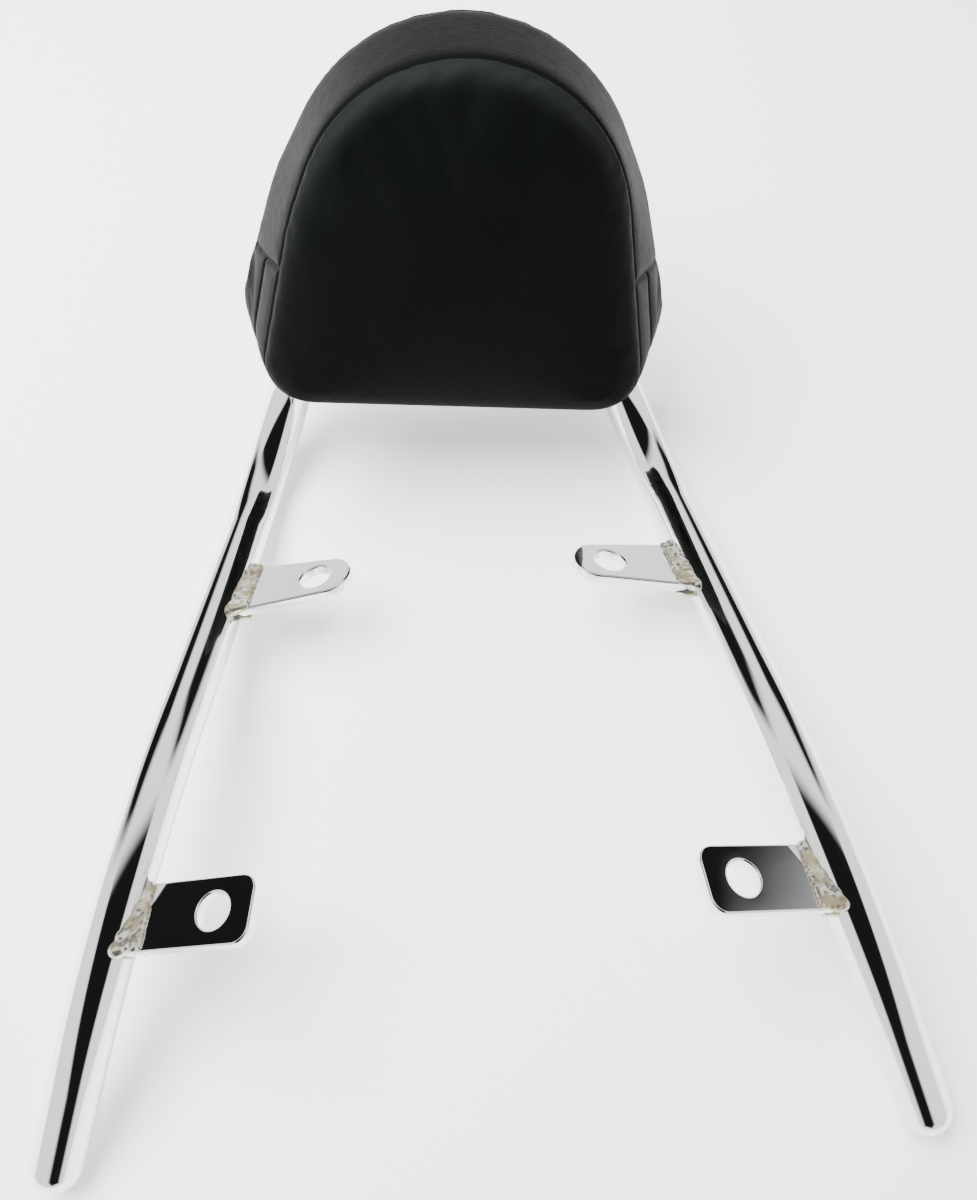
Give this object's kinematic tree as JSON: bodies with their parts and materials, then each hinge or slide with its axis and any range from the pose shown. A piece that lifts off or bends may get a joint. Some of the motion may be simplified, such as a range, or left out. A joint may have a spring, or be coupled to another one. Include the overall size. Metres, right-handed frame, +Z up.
{
  "type": "motorcycle passenger backrest",
  "caption": "Motorcycle passenger backrest with long bent chrome rails, flat bolt tabs and an upright hoop that carries a leaning padded back rest.",
  "frame": {"origin": "on the floor, under the middle of the part's bounding box", "axes": "+Z up as it stands on its rail tips and rear bends; the rail tips point to -Y; +X to the right when looking from the tips to the pad; the pad stands at the +Y end and leans back"},
  "size_m": [0.4374, 0.5034, 0.2313],
  "materials": {
    "chrome_tube": "polished chrome plating",
    "chrome_plate": "polished chrome plating over flat plate",
    "weld": "plated weld bead, dull and slightly brassy",
    "plywood": "raw plywood",
    "zinc_steel": "zinc-plated steel",
    "foam": "open-cell foam",
    "front_leather": "fine-grained black leather, satin",
    "band_leather": "fine-grained dark grey leather, satin"
  },
  "bodies": {
    "root": {"left_rail": "chrome_tube", "right_rail": "chrome_tube", "left_rail_cap": "chrome_tube", "right_rail_cap": "chrome_tube", "pad_hoop": "chrome_tube", "left_front_tab": "chrome_plate", "right_front_tab": "chrome_plate", "left_rear_tab": "chrome_plate", "right_rear_tab": "chrome_plate", "left_front_weld": "weld", "right_front_weld": "weld", "left_rear_weld": "weld", "right_rear_weld": "weld", "pad_board": "plywood", "left_clip": "zinc_steel", "right_clip": "zinc_steel", "top_clip": "zinc_steel", "clip_screws": "zinc_steel", "tee_nuts": "zinc_steel", "front_foam": "foam", "rear_foam": "foam", "front_panel": "front_leather", "upper_band": "band_leather", "left_side_panel": "band_leather", "right_side_panel": "band_leather", "lower_band": "band_leather", "back_panel": "band_leather", "front_piping": "front_leather"}
  },
  "joints": []
}
